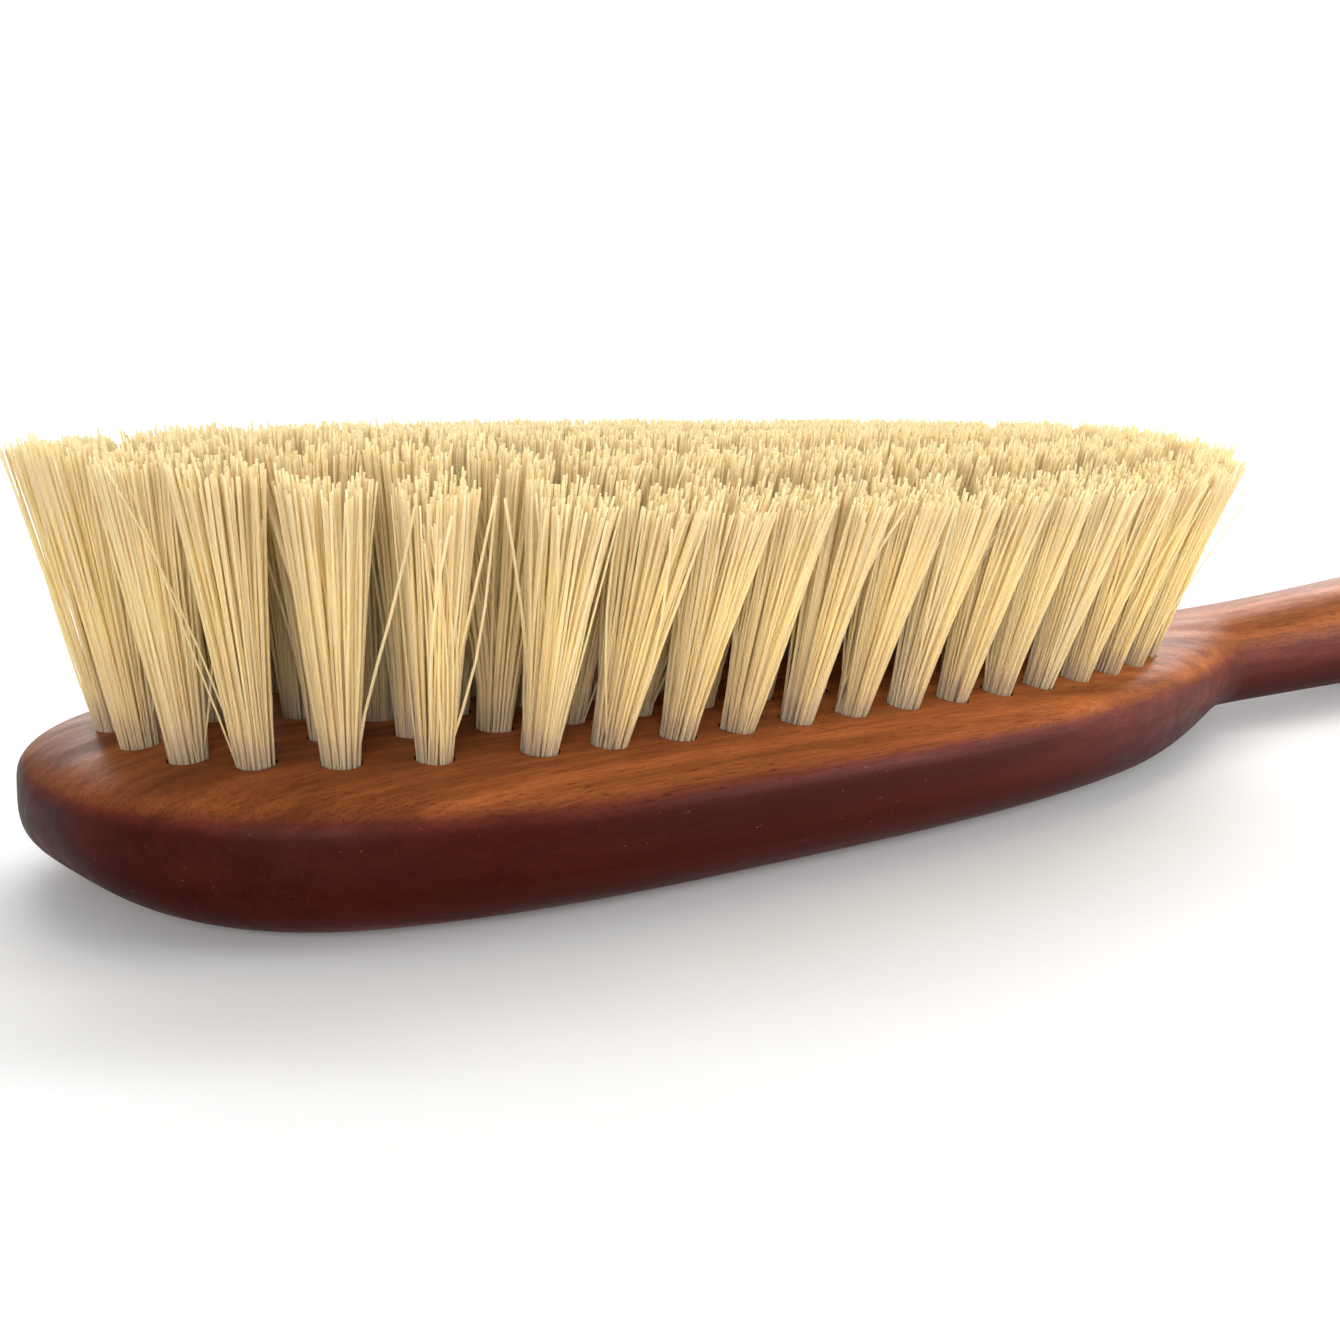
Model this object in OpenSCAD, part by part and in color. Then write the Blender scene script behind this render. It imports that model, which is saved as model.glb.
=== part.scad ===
// Body dry brush: a wooden head, neck and handle carved in one piece, with bristle tufts
// folded over flat wire staples and driven into blind holes.
// The brush lies on its back, bristles up. The origin is in the middle of the flat back of
// the head. +X runs along the handle and +Z is up.

/* [Head] */
// Distance from the middle of the back to the tip of the head
tip_reach = 77; // [75:0.5:84]
// Widest width of the head
head_w = 64; // [62:0.5:72]
// Thickness of the head in the middle
head_t = 15.6; // [14.6:0.2:20]
// Place along the handle direction where the head is widest
widest_x = -25; // [-36:1:-10]
// Height of the widest outline above the flat back
rim_z = 9.7; // [8:0.1:11]
// Fall of the bristle face from its middle to the outermost hole at the tip
face_fall = 0.6; // [0:0.1:1.5]

/* [Handle] */
// Overall length of the brush
overall_l = 400; // [340:5:440]
// Distance from the middle of the back to the slimmest part of the neck
neck_x = 92; // [88:1:104]
// Width of the neck at its slimmest
neck_w = 16.5; // [15:0.5:22]
// Height of the top of the neck
neck_top = 15; // [13:0.5:17]
// Height of the hollow under the neck
neck_lift = 1.3; // [0:0.1:2.5]
// Width of the grip at its widest
grip_w = 27; // [22:0.5:34]
// Thickness of the grip
grip_t = 19; // [16:0.5:23]
// Diameter of the hang hole
hang_hole_d = 6; // [4:0.5:8]

/* [Bristle field] */
// Length of the outer ring of tuft holes, between hole centres
field_l = 133.6; // [128:0.2:136]
// Place of the middle of the bristle field along the handle direction
field_x = -1.5; // [-2.5:0.5:0]
// Width of the outer ring of tuft holes, between hole centres
field_w = 48; // [46:0.5:50]
// Distance between neighbouring tufts of a ring
tuft_pitch = 7.7; // [7.6:0.1:9]
// Diameter of a tuft hole
hole_d = 3.5; // [3:0.1:4]
// Depth of a tuft hole
hole_depth = 8.5; // [7:0.5:9]
// Free length of the bristles in the middle of the field
bristle_l = 26.5; // [12:0.5:28]
// How much shorter the bristles along the two long sides are trimmed
side_trim = 2.8; // [0:0.1:4]
// Diameter of a tuft at its cut tips
tuft_tip_d = 7.2; // [4:0.1:7.3]
// Outward lean of the outer ring of tufts along the two long sides, in degrees
side_lean = 16.6; // [8:0.2:18]
// Lengthwise lean of the outer ring of tufts at the two ends, in degrees
end_lean = 11; // [6:0.2:16]
// Nearer the tip than this, the tufts lean away from this point of the middle line
fan_x = -32; // [-36:1:-28]

/* [Staples] */
// Thickness of the staple wire
staple_t = 0.4; // [0.3:0.05:0.5]
// Height of the staple wire along the hole
staple_h = 1.8; // [1.2:0.1:2.2]
// How far each end of a staple bites into the wood
staple_bite = 0.4; // [0.2:0.05:0.6]

/* [Hidden] */
// Rings of the bristle field from the edge inwards; the last one is the straight centre row
RINGS = ["outer_ring", "second_ring", "third_ring", "centre_row"];
CENTRE = 3;
// Number of groups that each ring's tufts are listed in
GROUPS = [11, 9, 8, 3];

function tuft_node(r, g) = str(RINGS[r], "_tufts_", g + 1);
function staple_node(r) = str(RINGS[r], "_staples");

handle_end = overall_l - tip_reach;
// Distance between the rings, so that seven rows stand across the field
ring_gap = field_w / 6;
// The centre row stops this much short of its share of the field
centre_inset = 2.3;
// Uneven drilling by hand: how far the outer ring's first holes from the tip stand off even spacing
drill_slip = [0, 0, -1.2, -1.7, -1.3, 0.9, 0.5, 0.5];

// Roundness of the superellipses: 2 is an ellipse, and more is squarer
field_power = 2.75;
tip_power = 2.4;
head_top_power = 3;
head_back_power = 3.7;
handle_power = 2.3;
tip_zone_power = 2.6;
end_power = 3;
shoulder_power = [3.2, 1.4];

// Stretches along the handle direction over which one shape turns into the next
shoulder_x = [45, 97];
grip_rise_x = [80, 180];
grip_drop_x = [120, 200];
grip_x = 245;
// Lengths of the two ends over which the thickness rounds off
tip_zone = 22.5;
end_zone = 16;

hang_hole_x = handle_end - 17;
// Eased edge of the hang hole
hang_ease = 1.2;
// Wood taken off the back of the head to make its flat
flat_cut = 0.4;
// Clearances of a tuft in its hole and of a staple in its bite
hole_gap = 0.05;
staple_gap = 0.03;
// Height of a staple's lower edge above the bottom of its hole
staple_up = 1.3;

// Colours
wood = [0.45, 0.21, 0.14];
bristle = [0.88, 0.79, 0.60];
wire = [0.72, 0.70, 0.66];

// --- Shape rules ---

function ease(v) = let (c = min(max(v, 0), 1)) c * c * (3 - 2 * c);
function between(x, span) = ease((x - span[0]) / (span[1] - span[0]));
function blend(a, b, s) = a * (1 - s) + b * s;
// Quarter of a superellipse: 1 at u = 0, falling to 0 at u = 1
function quarter(u, n) = let (c = min(max(u, 0), 1)) pow(1 - pow(c, n), 1 / n);
function signed_pow(v, p) = sign(v) * pow(abs(v), p);

// How far the section at x has turned from head to handle
function handle_part(x) = between(x, shoulder_x);

function half_w(x) =
    x < widest_x ? head_w / 2 * quarter((widest_x - x) / (widest_x + tip_reach), tip_power)
    : x < neck_x ? blend(neck_w / 2, head_w / 2,
        pow(1 - pow((x - widest_x) / (neck_x - widest_x), shoulder_power[0]), shoulder_power[1]))
    : blend(neck_w / 2, grip_w / 2, between(x, [neck_x, grip_x]))
        * quarter((x - grip_x) / (handle_end - grip_x), end_power);

function top_z(x) = blend(head_t - face_fall * pow(min(x, 60) / (field_l / 2), 2),
    blend(neck_top, grip_t, between(x, grip_rise_x)), handle_part(x));
function bottom_z(x) = blend(-flat_cut, blend(neck_lift, 0, between(x, grip_drop_x)), handle_part(x));
function mid_z(x) = blend(rim_z, (top_z(x) + bottom_z(x)) / 2, handle_part(x));
function top_power(x) = blend(head_top_power, handle_power, handle_part(x));
function bottom_power(x) = blend(head_back_power, handle_power, handle_part(x));
// Share of the full thickness that is left towards the two rounded ends
function end_share(x) = quarter((tip_zone - tip_reach - x) / tip_zone, tip_zone_power)
    * quarter((x - handle_end + end_zone) / end_zone, end_power);

// Height of the bristle face at a point of the head
function face_z(x, y) = mid_z(x) + (top_z(x) - mid_z(x)) * end_share(x)
    * quarter(abs(y) / half_w(x), top_power(x));

// --- Bristle field: each tuft is [x, y, azimuth of its lean, lean, free length] ---

// Point of a ring of half length a and half width b, and the outward direction there
function ring_point(a, b, t) =
    [a * signed_pow(cos(t), 2 / field_power), b * signed_pow(sin(t), 2 / field_power)];
function ring_normal(a, b, p) = let (
        n = [signed_pow(p[0] / a, field_power - 1) / a, signed_pow(p[1] / b, field_power - 1) / b])
    n / norm(n);
// Table of [distance run, angle] round a ring, from the tip
function ring_run(a, b, step = 0.5) =
    [for (t = 180, s = 0; t <= 540; s = s + norm(ring_point(a, b, t + step) - ring_point(a, b, t)),
        t = t + step) [s, t]];

// Direction in which a tuft leans: outward, and fanned out towards the tip
function lean_way(p, normal) = let (from_fan = [p[0] + field_x - fan_x, p[1]])
    from_fan[0] < 0 ? from_fan / norm(from_fan) : normal;
// share: 1 for the outer ring, falling to 0 for the centre row
function tuft_at(p, normal, share) = let (
        way = lean_way(p, normal), lean = [end_lean * way[0], side_lean * way[1]] * share)
    [p[0] + field_x, p[1], share == 0 ? 0 : atan2(lean[1], lean[0]), norm(lean),
        bristle_l - side_trim * pow(2 * p[1] / field_w, 2)];
function ring_tufts(r) = let (
        a = field_l / 2 - r * ring_gap, b = field_w / 2 - r * ring_gap,
        run = ring_run(a, b), total = run[len(run) - 1][0], count = round(total / tuft_pitch),
        start = r % 2 / 2)
    [for (i = [0:count - 1]) let (
            slip = r == 0 && i < len(drill_slip) ? drill_slip[i] : 0,
            p = ring_point(a, b, lookup(total * (i + start) / count + slip, run)))
        tuft_at(p, ring_normal(a, b, p), (CENTRE - r) / CENTRE)];
function centre_tufts() = let (
        reach = field_l / 2 - CENTRE * ring_gap - centre_inset,
        count = round(2 * reach / tuft_pitch) + 1)
    [for (i = [0:count - 1]) tuft_at([reach * (2 * i / (count - 1) - 1), 0], [0, 0], 0)];

TUFTS = [for (r = [0:CENTRE]) r == CENTRE ? centre_tufts() : ring_tufts(r)];

// Puts the children at a tuft's hole mouth, +Z out along the tuft
module at_tuft(t) {
    translate([t[0], t[1], face_z(t[0], t[1])]) rotate([0, t[3], t[2]]) children();
}

// --- Wooden body ---

// Points round one section
SECTION = 36;
// Places of the sections: close together at the rounded ends and at the shoulder
STATIONS = let (end_reach = 54) concat(
    [for (i = [1:10]) -tip_reach + tip_zone * pow(i / 10, 2)],
    [for (x = [-tip_reach + tip_zone + 6:6:shoulder_x[1]]) x],
    [for (x = [shoulder_x[1] + 5:11:handle_end - end_reach - 5]) x],
    [for (i = [8:-1:1]) handle_end - end_reach * pow(i / 8, 2)]);

function section(x) = [for (k = [0:SECTION - 1]) let (
        a = 360 * k / SECTION, up = sin(a) > 0,
        n = up ? top_power(x) : bottom_power(x),
        rise = (up ? top_z(x) - mid_z(x) : mid_z(x) - bottom_z(x)) * end_share(x))
    [x, half_w(x) * signed_pow(cos(a), 2 / n), mid_z(x) + rise * signed_pow(sin(a), 2 / n)]];

module carved_blank() {
    last = len(STATIONS) - 1;
    tip = (last + 1) * SECTION;
    points = concat([for (x = STATIONS) each section(x)],
        [[-tip_reach, 0, mid_z(-tip_reach)], [handle_end, 0, mid_z(handle_end)]]);
    sides = [for (i = [0:last - 1]) for (k = [0:SECTION - 1]) let (
            j = (k + 1) % SECTION, a = i * SECTION)
        each [[a + k, a + SECTION + k, a + SECTION + j], [a + k, a + SECTION + j, a + j]]];
    caps = [for (k = [0:SECTION - 1]) let (j = (k + 1) % SECTION)
        each [[tip, k, j], [tip + 1, last * SECTION + j, last * SECTION + k]]];
    polyhedron(points, concat(sides, caps));
}

module staple_shape(gap) {
    size = [staple_t, hole_d + 2 * staple_bite, staple_h] + [2, 2, 2] * gap;
    translate([-size[0] / 2, -size[1] / 2, staple_up - hole_depth - gap]) cube(size);
}

module wooden_body() {
    color(wood) difference() {
        carved_blank();
        // Flat back of the head
        translate([-tip_reach - 5, -head_w, -10]) cube([tip_reach + 80, 2 * head_w, 10]);
        // Blind tuft holes, each with the bite of its staple
        for (ring = TUFTS) for (t = ring) at_tuft(t) {
            translate([0, 0, -hole_depth]) cylinder(h = hole_depth + 3, d = hole_d, $fn = 32);
            staple_shape(staple_gap);
        }
        // Hang hole with eased edges
        translate([hang_hole_x, 0, -1]) cylinder(h = grip_t + 2, d = hang_hole_d, $fn = 48);
        for (side = [0, 1]) translate([hang_hole_x, 0, side * grip_t]) mirror([0, 0, side])
            cylinder(h = hang_ease, d1 = hang_hole_d + 2 * hang_ease, d2 = hang_hole_d, $fn = 48);
    }
}

// --- Tufts and staples ---

// A bundle of bristles of free length l: straight in its hole and spreading above it
module tuft(l) {
    root_d = hole_d - 2 * hole_gap;
    difference() {
        union() {
            translate([0, 0, hole_gap - hole_depth])
                cylinder(h = hole_depth - hole_gap, d = root_d, $fn = 32);
            cylinder(h = l, d1 = root_d, d2 = tuft_tip_d, $fn = 32);
        }
        staple_shape(staple_gap);
    }
}

function group_start(r, g) = floor(len(TUFTS[r]) * g / GROUPS[r]);

module tuft_group(r, g) {
    color(bristle) for (i = [group_start(r, g):group_start(r, g + 1) - 1])
        at_tuft(TUFTS[r][i]) tuft(TUFTS[r][i][4]);
}

module staple_ring(r) {
    color(wire) for (t = TUFTS[r]) at_tuft(t) staple_shape(0);
}

wooden_body();
for (r = [0:CENTRE]) for (g = [0:GROUPS[r] - 1])
    tuft_group(r, g);
for (r = [0:CENTRE])
    staple_ring(r);
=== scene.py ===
import math

import bmesh
import bpy
import numpy as np
from mathutils import Matrix, Vector


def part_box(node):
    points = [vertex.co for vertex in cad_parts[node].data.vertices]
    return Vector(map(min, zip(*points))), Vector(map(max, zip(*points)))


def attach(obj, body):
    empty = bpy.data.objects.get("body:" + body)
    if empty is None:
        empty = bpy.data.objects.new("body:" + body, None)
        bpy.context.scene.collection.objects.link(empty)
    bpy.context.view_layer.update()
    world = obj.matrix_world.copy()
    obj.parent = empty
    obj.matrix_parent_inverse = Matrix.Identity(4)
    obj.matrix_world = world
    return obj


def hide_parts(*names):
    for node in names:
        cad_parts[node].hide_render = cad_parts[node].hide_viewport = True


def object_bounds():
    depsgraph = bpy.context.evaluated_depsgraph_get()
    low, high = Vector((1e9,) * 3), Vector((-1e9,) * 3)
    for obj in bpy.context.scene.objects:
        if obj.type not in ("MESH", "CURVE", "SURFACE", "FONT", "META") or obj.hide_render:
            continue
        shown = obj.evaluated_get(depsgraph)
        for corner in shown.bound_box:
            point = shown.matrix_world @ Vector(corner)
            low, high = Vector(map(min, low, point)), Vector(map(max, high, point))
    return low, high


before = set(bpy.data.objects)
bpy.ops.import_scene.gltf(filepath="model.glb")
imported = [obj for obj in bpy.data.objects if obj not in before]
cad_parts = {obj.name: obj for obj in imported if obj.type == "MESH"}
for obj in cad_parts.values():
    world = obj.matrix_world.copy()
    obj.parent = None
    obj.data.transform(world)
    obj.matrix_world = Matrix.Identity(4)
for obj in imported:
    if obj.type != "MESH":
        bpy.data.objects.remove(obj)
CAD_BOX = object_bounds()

MM = 0.001
TAU = 2 * math.pi

# ---------------------------------------------------------------- camera

CAMERA_PLACE = Vector((-135.8, -151.7, 50.9)) * MM
CAMERA_YAW, CAMERA_DOWN, CAMERA_ROLL = math.radians(40.29), math.radians(10.12), math.radians(1.77)
CAMERA_LENS, CAMERA_SENSOR = 49.65, 36


def make_camera():
    data = bpy.data.cameras.new("camera")
    data.lens = CAMERA_LENS
    data.sensor_width = CAMERA_SENSOR
    data.clip_start, data.clip_end = 0.01, 20
    camera = bpy.data.objects.new("camera", data)
    turn = (Matrix.Rotation(-CAMERA_YAW, 4, "Z") @ Matrix.Rotation(math.pi / 2 - CAMERA_DOWN, 4, "X")
            @ Matrix.Rotation(CAMERA_ROLL, 4, "Z"))
    camera.matrix_world = Matrix.Translation(CAMERA_PLACE) @ turn
    bpy.context.scene.collection.objects.link(camera)
    bpy.context.scene.camera = camera


make_camera()

# ---------------------------------------------------------------- node helpers


class Tree:
    """A material's node tree, with one short call for each node."""

    def __init__(self, name):
        self.material = bpy.data.materials.new(name)
        self.material.use_nodes = True
        self.tree = self.material.node_tree
        self.tree.nodes.clear()

    def add(self, kind, settings=None, **inputs):
        made = self.tree.nodes.new(kind)
        for key, value in (settings or {}).items():
            setattr(made, key, value)
        for key, value in inputs.items():
            socket = made.inputs[int(key[1:])] if key[0] == "i" and key[1:].isdigit() else made.inputs[key]
            self.put(socket, value)
        return made

    def put(self, socket, value):
        if isinstance(value, bpy.types.NodeSocket):
            self.tree.links.new(value, socket)
        else:
            socket.default_value = value

    def maths(self, operation, a, b=0.5, c=0.5):
        return self.add("ShaderNodeMath", {"operation": operation}, i0=a, i1=b, i2=c).outputs[0]

    def place(self, scale, shift=(0, 0, 0)):
        """Object coordinates, scaled per metre."""
        at = self.add("ShaderNodeTexCoord").outputs["Object"]
        return self.add("ShaderNodeMapping", Vector=at, Scale=scale, Location=shift).outputs[0]

    def noise(self, scale, detail=3, rough=0.5, shift=(0, 0, 0), twist=0.0):
        return self.add("ShaderNodeTexNoise", Vector=self.place(scale, shift), Scale=1.0, Detail=detail,
                        Roughness=rough, Distortion=twist).outputs["Fac"]

    def ramp(self, value, stops):
        made = self.add("ShaderNodeValToRGB", i0=value)
        points = made.color_ramp.elements
        while len(points) < len(stops):
            points.new(0.5)
        for point, (place, colour) in zip(points, stops):
            point.position = place
            point.color = (*colour, 1) if hasattr(colour, "__len__") else (colour, colour, colour, 1)
        return made.outputs["Color"]

    def mix(self, share, a, b, blend="MIX"):
        made = self.add("ShaderNodeMix", {"data_type": "RGBA", "blend_type": blend})
        self.put(made.inputs[0], share)
        for socket, value in ((made.inputs[6], a), (made.inputs[7], b)):
            self.put(socket, value if isinstance(value, bpy.types.NodeSocket) else (*value, 1))
        return made.outputs[2]

    def attribute(self, name):
        return self.add("ShaderNodeAttribute", {"attribute_name": name}).outputs["Fac"]

    def bump(self, height, strength, distance):
        return self.add("ShaderNodeBump", Height=height, Strength=strength, Distance=distance).outputs[0]

    def finish(self, shader):
        out = self.add("ShaderNodeOutputMaterial")
        self.tree.links.new(shader, out.inputs["Surface"])
        return self.material


# ---------------------------------------------------------------- materials


DARK_GRAIN, DARK_PORE, PALE_SCUFF = (0.045, 0.008, 0.004), (0.020, 0.004, 0.003), (0.30, 0.13, 0.09)
# Painted light and shade by the way the surface faces: 0 is the flat back, 0.5 a flank and 1 the bristle
# face; the flanks are painted in dark maroon shade and the face in lighter orange-brown.
FACING_LIGHT_AND_SHADE = [(0.00, (0.120, 0.030, 0.017)), (0.10, (0.042, 0.005, 0.003)), (0.38, (0.024, 0.002, 0.001)),
         (0.54, (0.038, 0.004, 0.003)), (0.74, (0.110, 0.024, 0.014)), (0.93, (0.280, 0.084, 0.023))]
# Painted light and sheen: towards the handle the flanks take on the lighter colour of the face, and all of
# the wood pales.
# Both ramps run from 0 at x = -0.1 m to 1 at x = 0.1 m.
X_SCALE = 5.0
FLANK_PAINTED_LIGHT = [(0.45, 0.0), (0.90, 0.16)]
HANDLE_PAINTED_LIGHT = [(0.10, 0.92), (0.50, 1.15), (0.85, 1.36)]
PATCHES = [(0.28, 0.82), (0.50, 1.0), (0.74, 1.25)]
GROWTH_LINES = [(0.34, 0.66), (0.50, 1.0), (0.66, 1.35)]
WOOD_GLOSS = 0.04


def wood_material():
    """Oiled reddish wood, streaked lengthwise, with painted light and shade: orange-brown where it faces up,
    maroon on its sides, and paler towards the handle.
    """
    t = Tree("reddish_wood")
    facing = t.add("ShaderNodeNewGeometry").outputs["Normal"]
    up = t.add("ShaderNodeSeparateXYZ", Vector=facing).outputs["Z"]
    broad = t.noise((14, 90, 90), detail=4, twist=0.3)
    bands = t.noise((22, 520, 520), detail=4, rough=0.65, shift=(3, 1, 0), twist=0.2)
    fibre = t.noise((150, 4200, 4200), detail=3, rough=0.7)
    pores = t.noise((520, 7500, 7500), detail=1, shift=(7, 2, 5))
    along = t.add("ShaderNodeSeparateXYZ", Vector=t.place((1, 1, 1))).outputs["X"]
    # Painted light: the flanks lighter towards the handle.
    right = t.ramp(t.maths("MULTIPLY_ADD", along, X_SCALE), FLANK_PAINTED_LIGHT)
    # Painted light and shade: the colour is set by the way the surface faces, dark on the flanks and light
    # on the face.
    facing_light_and_shade = t.ramp(t.maths("ADD", t.maths("MULTIPLY_ADD", up, 0.5), right), FACING_LIGHT_AND_SHADE)
    growth = t.noise((7, 230, 230), detail=3, rough=0.55, shift=(2, 4, 1), twist=0.2)
    patched = t.mix(1.0, facing_light_and_shade, t.ramp(broad, PATCHES), "MULTIPLY")
    grown = t.mix(1.0, patched, t.ramp(growth, GROWTH_LINES), "MULTIPLY")
    # Painted light and sheen: all of the wood paler towards the handle.
    paler = t.ramp(t.maths("MULTIPLY_ADD", along, X_SCALE), HANDLE_PAINTED_LIGHT)
    base = t.mix(1.0, grown, paler, "MULTIPLY")
    banded = t.mix(t.ramp(bands, [(0.38, 0.30), (0.62, 0.0)]), base, DARK_GRAIN)
    fibred = t.mix(t.ramp(fibre, [(0.38, 0.36), (0.60, 0.0)]), banded, DARK_GRAIN)
    pored = t.mix(t.ramp(pores, [(0.28, 0.65), (0.36, 0.0)]), fibred, DARK_PORE)
    flecks = t.noise((1100, 2400, 2400), detail=2, shift=(1, 9, 4))
    colour = t.mix(t.ramp(flecks, [(0.72, 0.0), (0.80, 0.30)]), pored, PALE_SCUFF)
    rough = t.ramp(bands, [(0.30, 0.52), (0.70, 0.36)])
    relief = t.maths("ADD", t.maths("MULTIPLY", fibre, 0.6), t.maths("MULTIPLY", bands, 0.4))
    skin = t.add("ShaderNodeBsdfPrincipled", **{"Base Color": colour, "Roughness": rough,
                 "Specular IOR Level": WOOD_GLOSS, "Normal": t.bump(relief, 0.35, 0.00012)})
    return t.finish(skin.outputs[0])


# Bristle colour from the hole mouth (0) to the cut end (1), with painted shade darkening the strands at the
# hole mouth and painted light, as of light building up inside, brightening them further out; it dulls a
# little at the cut end, where light no longer builds up inside.
BRISTLE_RISE = [(0.0, (0.70, 0.56, 0.36)), (0.14, (0.94, 0.84, 0.58)), (0.45, (1.0, 0.925, 0.68)),
                (0.72, (1.0, 0.93, 0.73)), (1.0, (0.91, 0.84, 0.69))]
YELLOW_BRISTLE, WHITE_BRISTLE, STREAKED = (0.98, 0.86, 0.54), (0.98, 0.96, 0.88), (0.98, 0.87, 0.60)
BRISTLE_SKIN, BRISTLE_AMBER = (0.96, 0.95, 0.92), (1.0, 0.97, 0.82)
LIGHT_THROUGH = 0.80


def bristle_material():
    """Ivory bristle: a paler glossy skin, and amber where light comes through from behind."""
    t = Tree("ivory_bristle")
    tint, rise = t.attribute("tint"), t.attribute("rise")
    streak = t.noise((600, 600, 120), detail=2)
    # Painted shade at the hole mouth and painted light further along the strand.
    pale = t.ramp(rise, BRISTLE_RISE)
    varied = t.mix(t.ramp(tint, [(0.10, 0.28), (0.60, 0.0)]), pale, YELLOW_BRISTLE)
    bright = t.mix(t.ramp(tint, [(0.75, 0.0), (1.0, 0.7)]), varied, WHITE_BRISTLE)
    colour = t.mix(t.ramp(streak, [(0.35, 0.12), (0.65, 0.0)]), bright, STREAKED)
    skin = t.mix(0.6, colour, BRISTLE_SKIN)
    amber = t.mix(1.0, colour, BRISTLE_AMBER, "MULTIPLY")
    strand = t.add("ShaderNodeBsdfPrincipled", **{"Base Color": skin, "Roughness": 0.26, "IOR": 1.54,
                   "Specular IOR Level": 0.9})
    through = t.add("ShaderNodeBsdfTranslucent", Color=amber)
    both = t.add("ShaderNodeMixShader", i0=LIGHT_THROUGH, i1=strand.outputs[0], i2=through.outputs[0])
    return t.finish(both.outputs[0])


def wire_material():
    """Flat steel wire, drawn lengthwise."""
    t = Tree("drawn_wire")
    drawn = t.noise((2500, 2500, 9000), detail=2)
    colour = t.ramp(drawn, [(0.3, (0.42, 0.40, 0.37)), (0.7, (0.60, 0.58, 0.54))])
    metal = t.add("ShaderNodeBsdfPrincipled", **{"Base Color": colour, "Metallic": 1.0, "Roughness": 0.35,
                  "Normal": t.bump(drawn, 0.2, 0.00002)})
    return t.finish(metal.outputs[0])


def floor_material():
    """Pale studio paper, very slightly uneven."""
    t = Tree("pale_floor")
    speckle = t.noise((40, 40, 40), detail=2)
    shade = t.mix(t.ramp(speckle, [(0.4, 0.0), (0.6, 0.04)]), (0.86, 0.86, 0.86), (0.7, 0.7, 0.7))
    return t.finish(t.add("ShaderNodeBsdfPrincipled", **{"Base Color": shade, "Roughness": 0.9}).outputs[0])


WOOD, BRISTLE, WIRE = wood_material(), bristle_material(), wire_material()


def new_object(name, mesh, material):
    mesh.materials.append(material)
    made = bpy.data.objects.new(name, mesh)
    bpy.context.scene.collection.objects.link(made)
    return made


# ---------------------------------------------------------------- tufts, measured on the frame


TUFT_DEPTH = 8.45 * MM
END_LAYER, DISC_LAYER = 0.1 * MM, 0.3 * MM


class Tuft:
    """One CAD tuft: its hole mouth, its axis out of the wood, its free length and its radii."""

    def __init__(self, points):
        along = np.linalg.svd(points - points.mean(0))[2][0]
        rise = points @ (along * np.sign(along[2]))
        disc = points[rise > rise.max() - DISC_LAYER]
        self.tip = disc.mean(0)
        self.axis = np.linalg.svd(disc - self.tip)[2][2]
        self.axis *= np.sign(self.axis[2])
        below = (self.tip - points) @ self.axis
        off = np.linalg.norm(points - self.tip + below[:, None] * self.axis, axis=1)
        self.length = below.max() - TUFT_DEPTH
        self.tip_radius = off[below < END_LAYER].max()
        self.root_radius = off[below > below.max() - END_LAYER].max()
        self.root = self.tip - self.length * self.axis
        flat = math.hypot(*self.axis[:2])
        lean_way = np.array([*self.axis[:2], 0]) / flat if flat > 1e-3 else np.array([1.0, 0, 0])
        # side runs along the staple, and ahead across it
        self.side = np.cross([0, 0, 1.0], lean_way)
        self.ahead = np.cross(self.side, self.axis)

    def to_world(self, local):
        return self.root + local @ np.stack([self.ahead, self.side, self.axis])


def islands(thing):
    """The separate solids of a node, as arrays of points."""
    bm = bmesh.new()
    bm.from_mesh(thing.data)
    bmesh.ops.remove_doubles(bm, verts=bm.verts, dist=1e-6)
    left, found = set(bm.verts), []
    while left:
        edge, group = [left.pop()], []
        while edge:
            v = edge.pop()
            group.append(v.co[:])
            for e in v.link_edges:
                o = e.other_vert(v)
                if o in left:
                    left.remove(o)
                    edge.append(o)
        found.append(np.array(group))
    bm.free()
    return sorted(found, key=lambda g: tuple(g.mean(0).round(5)))


TUFTS = {name: [Tuft(points) for points in islands(thing)]
         for name, thing in sorted(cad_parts.items()) if "_tufts_" in name}

# ---------------------------------------------------------------- wooden body

BODY_LOW, BODY_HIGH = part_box("wooden_body")
TIP_X, END_X = BODY_LOW.x / MM, BODY_HIGH.x / MM
HEAD_HALF = BODY_HIGH.y / MM
GRIP_TOP = BODY_HIGH.z / MM
HEAD_T, FACE_FALL, RIM_Z, FLAT_CUT = 15.6, 0.6, 9.7, 0.4
WIDEST_X, NECK_X, GRIP_X = -25, 92, 245
NECK_HALF, GRIP_HALF, NECK_TOP, NECK_LIFT = 8.25, 13.5, 15, 1.3
TIP_POWER, TOP_POWER, BACK_POWER, HANDLE_POWER = 2.4, 3, 3.7, 2.3
TIP_ZONE, TIP_ZONE_POWER, END_ZONE, END_POWER = 22.5, 2.6, 16, 3
SHOULDER_POWERS = 3.2, 1.4
# Places along the handle direction where the head's section turns into the handle's
NECK_FROM, NECK_TO = 45, 97
GRIP_TOP_FROM, GRIP_TOP_TO = 80, 180
GRIP_LOW_FROM, GRIP_LOW_TO = 120, 200
FACE_TO, FLAT_TO = 60, 75
FIELD_HALF = 66.8
SECTION_POINTS, OUTLINE_STEPS = 152, 1441
HANG_X, HANG_R = END_X - 17, 3
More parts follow.
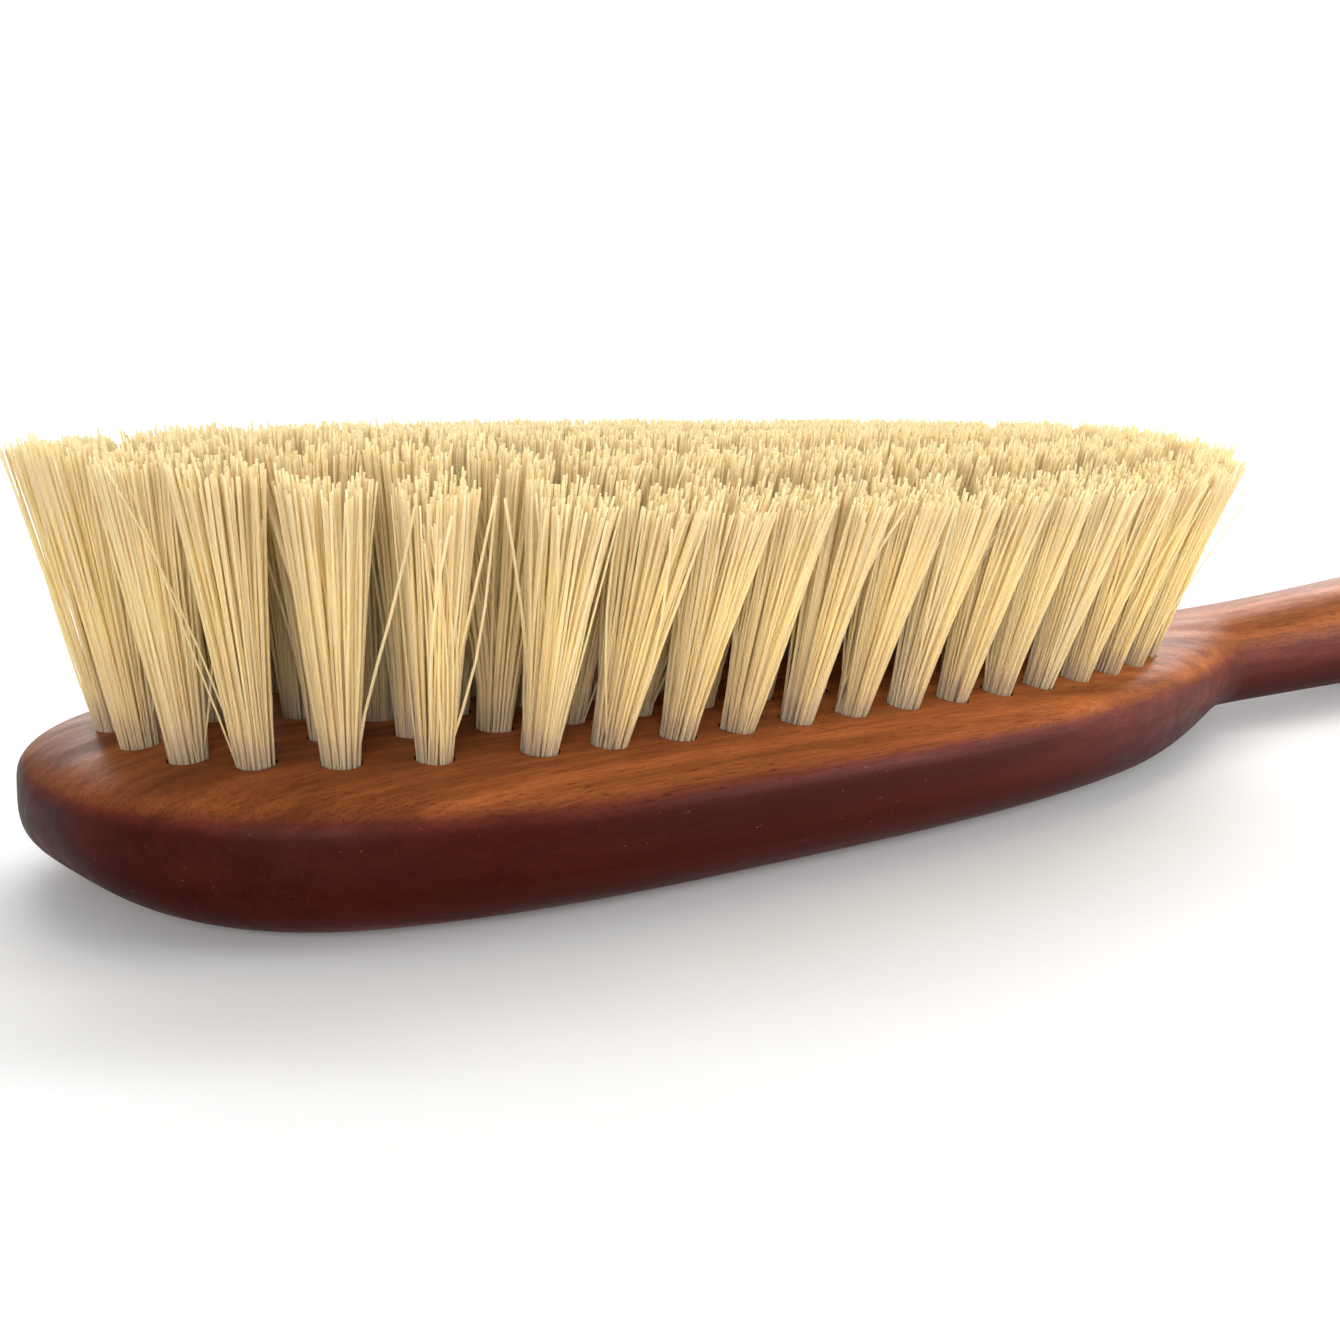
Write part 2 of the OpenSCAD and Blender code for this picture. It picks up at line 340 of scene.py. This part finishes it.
# How far the hang hole's edge widens, and how far that is outside the surface of the grip
HANG_EDGE = [(3.0, 2.0), (2.2, 0.4), (0.5, -0.85), (0.12, -1.35), (0.0, -2.0)]
HOLE_SIDES, HANG_SIDES = 28, 64
HOLE_SLACK, TORN_BY, TORN_FROM, TORN_TO, DRILL_OUT = 0.05 * MM, 0.20, -0.45 * MM, 0.12 * MM, 3 * MM


def ease(v):
    c = np.clip(v, 0, 1)
    return c * c * (3 - 2 * c)


def between(x, low, high):
    return ease((x - low) / (high - low))


def blend(a, b, s):
    return a * (1 - s) + b * s


def quarter(u, n):
    return (1 - np.clip(u, 0, 1) ** n) ** (1 / n)


def half_width(x):
    tip = HEAD_HALF * quarter((WIDEST_X - x) / (WIDEST_X - TIP_X), TIP_POWER)
    shoulder = np.clip((x - WIDEST_X) / (NECK_X - WIDEST_X), 0, 1)
    head = blend(NECK_HALF, HEAD_HALF, (1 - shoulder ** SHOULDER_POWERS[0]) ** SHOULDER_POWERS[1])
    handle = blend(NECK_HALF, GRIP_HALF, between(x, NECK_X, GRIP_X)) * quarter(
        (x - GRIP_X) / (END_X - GRIP_X), END_POWER)
    return np.where(x < WIDEST_X, tip, np.where(x < NECK_X, head, handle))


def section(x, angle):
    """Points of the carved section at x, for angles round it, in mm: x is a column, angle a row."""
    s = between(x, NECK_FROM, NECK_TO)
    top = blend(HEAD_T - FACE_FALL * (np.minimum(x, FACE_TO) / FIELD_HALF) ** 2,
                blend(NECK_TOP, GRIP_TOP, between(x, GRIP_TOP_FROM, GRIP_TOP_TO)), s)
    bottom = blend(-FLAT_CUT, blend(NECK_LIFT, 0, between(x, GRIP_LOW_FROM, GRIP_LOW_TO)), s)
    middle = blend(RIM_Z, (top + bottom) / 2, s)
    share = quarter((TIP_ZONE + TIP_X - x) / TIP_ZONE, TIP_ZONE_POWER) * quarter(
        (x - END_X + END_ZONE) / END_ZONE, END_POWER)
    c, up = np.cos(angle), np.sin(angle)
    n = np.where(up > 0, blend(TOP_POWER, HANDLE_POWER, s), blend(BACK_POWER, HANDLE_POWER, s))
    y = half_width(x) * np.sign(c) * np.abs(c) ** (2 / n)
    reach = np.where(up > 0, top - middle, middle - bottom) * share
    z = middle + reach * np.sign(up) * np.abs(up) ** (2 / n)
    return y, np.where(x < FLAT_TO, np.maximum(z, 0), z)


def even_section(x):
    """One section with its points evenly spaced along its outline."""
    count = SECTION_POINTS
    angle = np.linspace(0, TAU, OUTLINE_STEPS)
    y, z = section(np.full_like(angle, x), angle)
    run = np.concatenate([[0], np.cumsum(np.hypot(np.diff(y), np.diff(z)))])
    at = np.linspace(0, run[-1], count + 1)[:-1]
    return np.stack([np.full(count, x), np.interp(at, run, y), np.interp(at, run, z)], 1)


def carved_mesh():
    """The blank of the body: sections close together at both ends, joined into one closed skin."""
    count = SECTION_POINTS
    tip = TIP_X + TIP_ZONE * np.linspace(0, 1, 46)[1:] ** 2
    head = np.arange(tip[-1] + 1, 105, 1.0)
    handle = np.arange(107, END_X - 42, 2.0)
    end = END_X - 40 * np.linspace(1, 0, 50)[:-1] ** 2
    rings = [even_section(x) for x in np.concatenate([tip, head, handle, end])]
    middle = [(TIP_X, 0, RIM_Z), (END_X, 0, GRIP_TOP / 2)]
    points = np.concatenate([*rings, middle]) * MM
    faces = []
    for i in range(len(rings) - 1):
        for k in range(count):
            a, b = i * count + k, i * count + (k + 1) % count
            faces.append((a, a + count, b + count, b)[::-1])
    last, poles = (len(rings) - 1) * count, len(rings) * count
    for k in range(count):
        j = (k + 1) % count
        faces.append((poles, k, j)[::-1])
        faces.append((poles + 1, last + j, last + k)[::-1])
    mesh = bpy.data.meshes.new("wooden_body")
    mesh.from_pydata(points.tolist(), [], faces)
    return mesh


def revolved(bm, rows, count, to_world):
    """Adds a closed turned shape: rows are (radii for each of count angles, height)."""
    angle = np.arange(count) * TAU / count
    rings = []
    for radius, height in rows:
        local = np.stack([radius * np.cos(angle), radius * np.sin(angle), np.full(count, height)], 1)
        rings.append([bm.verts.new(p) for p in to_world(local)])
    for low, high in zip(rings, rings[1:]):
        for k in range(count):
            j = (k + 1) % count
            bm.faces.new((low[k], low[j], high[j], high[k]))
    bm.faces.new(rings[0][::-1])
    bm.faces.new(rings[-1])


def wobble(rng, count, waves=5):
    """A smooth random line round a circle, from 0 to 1."""
    angle = np.arange(count) * TAU / count
    line = sum(rng.normal() / n * np.cos(n * angle + rng.uniform(0, TAU)) for n in range(1, waves + 1))
    return (line - line.min()) / np.ptp(line)


def drill_shapes():
    """Everything taken out of the blank: tuft holes with slightly torn rims, and the hang hole."""
    rng = np.random.default_rng(5)
    bm = bmesh.new()
    for tuft in (t for group in TUFTS.values() for t in group):
        wall = tuft.root_radius + HOLE_SLACK
        torn = wall + TORN_BY * wobble(rng, HOLE_SIDES) ** 2 * MM
        rows = [(wall, -TUFT_DEPTH - HOLE_SLACK), (wall, TORN_FROM), (torn, TORN_TO), (torn, DRILL_OUT)]
        revolved(bm, rows, HOLE_SIDES, tuft.to_world)
    half = GRIP_TOP / 2
    rows = [(HANG_R + wide, -half - out) for wide, out in HANG_EDGE]
    rows += [(HANG_R + wide, half + out) for wide, out in HANG_EDGE[::-1]]
    place = np.array([HANG_X, 0, half]) * MM
    revolved(bm, [(r * MM, h * MM) for r, h in rows], HANG_SIDES, lambda p: p + place)
    mesh = bpy.data.meshes.new("drill_shapes")
    bm.to_mesh(mesh)
    bm.free()
    return mesh


def make_body():
    """The carved and drilled body, in place of the CAD's."""
    blank = new_object("wooden_body_carved", carved_mesh(), WOOD)
    drills = new_object("drill_shapes", drill_shapes(), WOOD)
    cut = blank.modifiers.new("holes", "BOOLEAN")
    cut.operation, cut.solver, cut.object = "DIFFERENCE", "EXACT", drills
    shaped = bpy.data.meshes.new_from_object(blank.evaluated_get(bpy.context.evaluated_depsgraph_get()))
    blank.modifiers.clear()
    blank.data = shaped
    bpy.data.objects.remove(drills)
    shaped.shade_smooth()
    shaped.set_sharp_from_angle(angle=math.radians(30))
    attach(blank, "root")
    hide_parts("wooden_body")


make_body()

# ---------------------------------------------------------------- bristles

# Sizes of strands are in mm. Each fold is one bristle bent double, so it makes two strands.
FOLDS = 75
STRAND_SIDES = 5
STRAND_R = (0.085, 0.150)
# Points along a strand, from its cut end (1) to the hole mouth (0)
OUT_STEPS = np.array([1.0, 0.8, 0.6, 0.4, 0.2, 0.0])
# Depths of the staple's two edges under the hole mouth, and half its thickness
STAPLE_TOP, STAPLE_LOW, STAPLE_HALF = 5.4, 7.2, 0.2
# Strands stay this far inside the brush's own box
EDGE_GAP = 0.20 * MM
TOP_Z = CAD_BOX[1].z - 0.05 * MM
# How uneven the cut ends are, and the share that is cut too short
CUT_SPREAD = 0.45
SHORT_SHARE, SHORT_BY = 0.05, 2.2
# Cut ends gather in clumps and spread past the CAD tuft; some strands stray, and some locks are swept
CLUMPS, CLUMP_PULL = 10, 0.20
TIP_SPREAD = 1.20
STRAY_SHARE, STRAY_REACH = 0.04, 1.8
SWEPT_SHARE = 0.3
GOLDEN_TURN = 2.399963
FIELD_SCALE = 0.08, 0.035
FIRST_SEED = 100


def tip_surface():
    """The height at which the tufts were trimmed, as a smooth function of the tip's place."""
    tips = np.array([t.tip for group in TUFTS.values() for t in group])

    def terms(x, y):
        return np.stack([x * 0 + 1, x, y, x * x, y * y, x * y, x ** 3, x * x * y, x ** 4, y ** 4], -1)

    long, wide = FIELD_SCALE
    fit = np.linalg.lstsq(terms(tips[:, 0] / long, tips[:, 1] / wide), tips[:, 2], rcond=None)[0]
    return lambda p: terms(p[..., 0] / long, p[..., 1] / wide) @ fit


TRIM = tip_surface()


class Habit:
    """How one tuft's bristles gather: clumps across its cut end, and at times a lock swept aside."""

    def __init__(self, rng):
        turn, out = rng.uniform(0, TAU, CLUMPS), rng.uniform(0.05, 1, CLUMPS) ** 0.5
        self.clumps = np.stack([out * np.cos(turn), out * np.sin(turn)], 1)
        self.swept = rng.integers(CLUMPS) if rng.random() < SWEPT_SHARE else -1
        self.sweep = np.array([rng.normal(0, 0.6), rng.choice([-1, 1]) * rng.uniform(2.4, 4.6)])
        self.cut_back = rng.uniform(1.5, 4.0)


def half_disc(rng, count):
    """Evenly scattered places in the right half of a unit disc."""
    k = np.arange(2 * count) + 0.5
    radius, turn = np.sqrt(k / (2 * count)), k * GOLDEN_TURN + rng.uniform(0, TAU)
    places = np.stack([radius * np.cos(turn), radius * np.sin(turn)], 1)
    places += rng.normal(0, 0.035, places.shape)
    return places[np.argsort(-places[:, 0])][:count]


def outside(points):
    """Which strands leave the brush's own box."""
    sideways = np.abs(points[..., 1]).max(1) > CAD_BOX[1].y - EDGE_GAP
    return sideways | (points[..., 0].min(1) < CAD_BOX[0].x + EDGE_GAP)


def free_parts(tuft, roots, spreads, habit, rng):
    """Points of strands from their cut ends down to the hole mouth, local to their tuft, in mm."""
    count, share = len(roots), OUT_STEPS[None, :, None]
    near = np.linalg.norm(spreads[:, None] - habit.clumps, axis=2).argmin(1)
    stray = np.where(rng.random(count) < STRAY_SHARE, STRAY_REACH, 0.0)[:, None]
    gathered = blend(spreads, habit.clumps[near], CLUMP_PULL)
    reach = TIP_SPREAD * tuft.tip_radius / MM * gathered + rng.normal(0, 1, (count, 2)) * (0.15 + stray)
    bow = rng.normal(0, 1, (count, 2)) * (0.15 + 0.3 * stray)
    lines = roots[:, None] + (reach - roots)[:, None] * share ** 1.25 + bow[:, None] * np.sin(np.pi * share)
    lines += rng.normal(0, 0.06, (count, 1, 2)) * np.sin(2 * np.pi * share)
    short = np.where(rng.random(count) < SHORT_SHARE, np.abs(rng.normal(0, SHORT_BY, count)), 0)
    swept = near == habit.swept
    lines[swept] += habit.sweep * share[0] ** 1.8
    short[swept] = habit.cut_back + rng.normal(0, 0.3, swept.sum())
    heights = np.tile(OUT_STEPS * tuft.length / MM, (count, 1))
    paths = np.concatenate([lines, heights[..., None]], 2)
    # Trim the strands where they meet the cut surface, a little unevenly, and under the top of the box
    ends = tuft.to_world(paths[:, 0] * MM)
    lift = (TRIM(ends) - ends[:, 2]) / MM / tuft.axis[2] + rng.normal(0, CUT_SPREAD, count) - short
    paths[:, :, 2] *= (1 + lift / paths[:, 0, 2])[:, None]
    over = (tuft.to_world(paths[:, 0] * MM)[:, 2] - TOP_Z) / MM / tuft.axis[2]
    paths[:, :, 2] *= (1 - np.maximum(over, 0) / paths[:, 0, 2])[:, None]
    while (out := outside(tuft.to_world(paths * MM))).any():
        paths[out, :, :2] = roots[out, None] + (paths[out, :, :2] - roots[out, None]) * 0.9
    return paths


def folded_paths(tuft, places, habit, rng):
    """Bristles of one tuft, each up out of the hole on both sides of the staple."""
    limit = tuft.root_radius / MM - STRAND_R[0]
    clear = STAPLE_HALF + STRAND_R[1]
    halves = []
    for way in (1, -1):
        spreads = places * [way, 1] + rng.normal(0, 0.05, places.shape)
        spreads /= np.maximum(1, np.linalg.norm(spreads, axis=1, keepdims=True))
        roots = spreads * limit
        roots[:, 0] = way * np.maximum(way * roots[:, 0], 0.1)
        out = free_parts(tuft, roots, spreads, habit, rng)
        beside = np.stack([way * np.maximum(np.abs(roots[:, 0]), clear), roots[:, 1] * 0.96], 1)
        down = [np.column_stack([beside, np.full(len(beside), -low)]) for low in (STAPLE_TOP, STAPLE_LOW)]
        halves.append(np.concatenate([out, np.stack(down, 1)], 1))
    bottom = -STAPLE_LOW - 0.2 - 0.85 * np.abs(places[:, 0])
    across = (halves[0][:, -1, 1] + halves[1][:, -1, 1]) / 2
    turn = np.stack([np.zeros(len(places)), across, bottom], 1)
    return np.concatenate([halves[0], turn[:, None], halves[1][:, ::-1]], 1)


def tube_points(paths, side, radii):
    """Rings of points round each path; paths is (strands, points, 3)."""
    ahead = np.gradient(paths, axis=1)
    ahead /= np.linalg.norm(ahead, axis=2, keepdims=True)
    first = side - ahead * (ahead @ side)[..., None]
    first /= np.linalg.norm(first, axis=2, keepdims=True)
    second = np.cross(ahead, first)
    angle = np.arange(STRAND_SIDES) * TAU / STRAND_SIDES
    circle = (first[:, :, None] * np.cos(angle)[None, None, :, None]
              + second[:, :, None] * np.sin(angle)[None, None, :, None])
    return paths[:, :, None] + circle * radii[:, None, None, None]


def tube_faces(strands, steps):
    """Quads along every strand, then two flat cut ends for each."""
    ring = np.arange(STRAND_SIDES)
    after = (ring + 1) % STRAND_SIDES
    start = np.arange(strands)[:, None, None] * steps * STRAND_SIDES
    low = start + np.arange(steps - 1)[None, :, None] * STRAND_SIDES
    quads = np.stack([low + ring, low + after, low + STRAND_SIDES + after, low + STRAND_SIDES + ring], -1)
    first = start[:, 0] + ring[::-1]
    last = start[:, 0] + (steps - 1) * STRAND_SIDES + ring
    return quads.reshape(-1, 4).tolist() + first.tolist() + last.tolist()


def make_tufts(name, tufts, rng):
    """One node's tufts as real bristles, in place of their plain CAD solids."""
    points, tints = [], []
    for tuft in tufts:
        habit = Habit(rng)
        paths = folded_paths(tuft, half_disc(rng, FOLDS), habit, rng)
        radii = rng.uniform(*STRAND_R, len(paths)) * MM
        points.append(tube_points(tuft.to_world(paths * MM), tuft.side, radii))
        tints.append(np.clip(rng.beta(2.2, 2.2, len(paths)) + rng.normal(0, 0.08), 0, 1))
    points, tints = np.concatenate(points), np.concatenate(tints)
    strands, steps = points.shape[:2]
    mesh = bpy.data.meshes.new(name + "_bristles")
    mesh.from_pydata(points.reshape(-1, 3).tolist(), [], tube_faces(strands, steps))
    rise = np.concatenate([OUT_STEPS, np.zeros(steps - 2 * len(OUT_STEPS)), OUT_STEPS[::-1]])
    for key, values in (("tint", np.repeat(tints, steps * STRAND_SIDES)),
                        ("rise", np.tile(np.repeat(rise, STRAND_SIDES), strands))):
        mesh.attributes.new(key, "FLOAT", "POINT").data.foreach_set("value", values.astype(np.float32))
    mesh.shade_smooth()
    mesh.set_sharp_from_angle(angle=math.radians(75))
    made = new_object(name + "_bristles", mesh, BRISTLE)
    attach(made, "root")
    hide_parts(name)


for number, (name, tufts) in enumerate(TUFTS.items()):
    make_tufts(name, tufts, np.random.default_rng(FIRST_SEED + number))

for name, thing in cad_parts.items():
    if name.endswith("_staples"):
        thing.data.materials.clear()
        thing.data.materials.append(WIRE)

# ---------------------------------------------------------------- floor and light


FLOOR_FROM, FLOOR_TO, FLOOR_HALF, FLOOR_DROP = -1.2, 1.6, 3.5, 0.0002
CURVE, WALL_TOP, CURVE_STEPS = 0.8, 2.4, 17
ROOM_LIGHT = 0.40
# Name, place, size in m, power in W and the point aimed at
BRUSH_MIDDLE = (0.02, 0, 0.02)
SOFTBOXES = [
    ("back_light", (0.42, 0.50, 0.26), (0.9, 0.25), 3.4, BRUSH_MIDDLE),
    ("front_fill", (-0.50, -0.56, 0.20), (0.36, 0.24), 5.0, BRUSH_MIDDLE),
    ("side_fill", (0.55, -0.50, 0.16), (0.5, 0.3), 4, BRUSH_MIDDLE),
    ("backdrop_light", (0.8, 0.9, 1.9), (2.4, 1.0), 70, (1.5, 1.8, 0.4))]


def make_sweep():
    """A pale floor that curves up into a wall far behind the brush."""
    turn = np.linspace(0, math.pi / 2, CURVE_STEPS)
    profile = [(FLOOR_FROM, 0)] + [(FLOOR_TO + CURVE * math.sin(a), CURVE * (1 - math.cos(a))) for a in turn]
    profile.append((FLOOR_TO + CURVE, WALL_TOP))
    bm = bmesh.new()
    rows = [[bm.verts.new((x, y, z - FLOOR_DROP)) for x in (-FLOOR_HALF, FLOOR_HALF)] for y, z in profile]
    for low, top in zip(rows, rows[1:]):
        bm.faces.new((low[0], low[1], top[1], top[0]))
    mesh = bpy.data.meshes.new("sweep")
    bm.to_mesh(mesh)
    bm.free()
    mesh.shade_smooth()
    sweep = new_object("sweep", mesh, floor_material())
    sweep.rotation_euler.z = -CAMERA_YAW


def add_softbox(name, place, size, power, aim):
    data = bpy.data.lights.new(name, "AREA")
    data.shape, data.size, data.size_y, data.energy = "RECTANGLE", *size, power
    lamp = bpy.data.objects.new(name, data)
    lamp.location = place
    lamp.rotation_euler = (Vector(aim) - Vector(place)).to_track_quat("-Z", "Y").to_euler()
    bpy.context.scene.collection.objects.link(lamp)


def light_scene():
    world = bpy.data.worlds.new("pale_room")
    world.use_nodes = True
    shade = world.node_tree.nodes["Background"]
    shade.inputs["Color"].default_value = (1, 1, 1, 1)
    shade.inputs["Strength"].default_value = ROOM_LIGHT
    bpy.context.scene.world = world
    for softbox in SOFTBOXES:
        add_softbox(*softbox)
    bpy.context.scene.view_settings.view_transform = "Standard"


make_sweep()
light_scene()
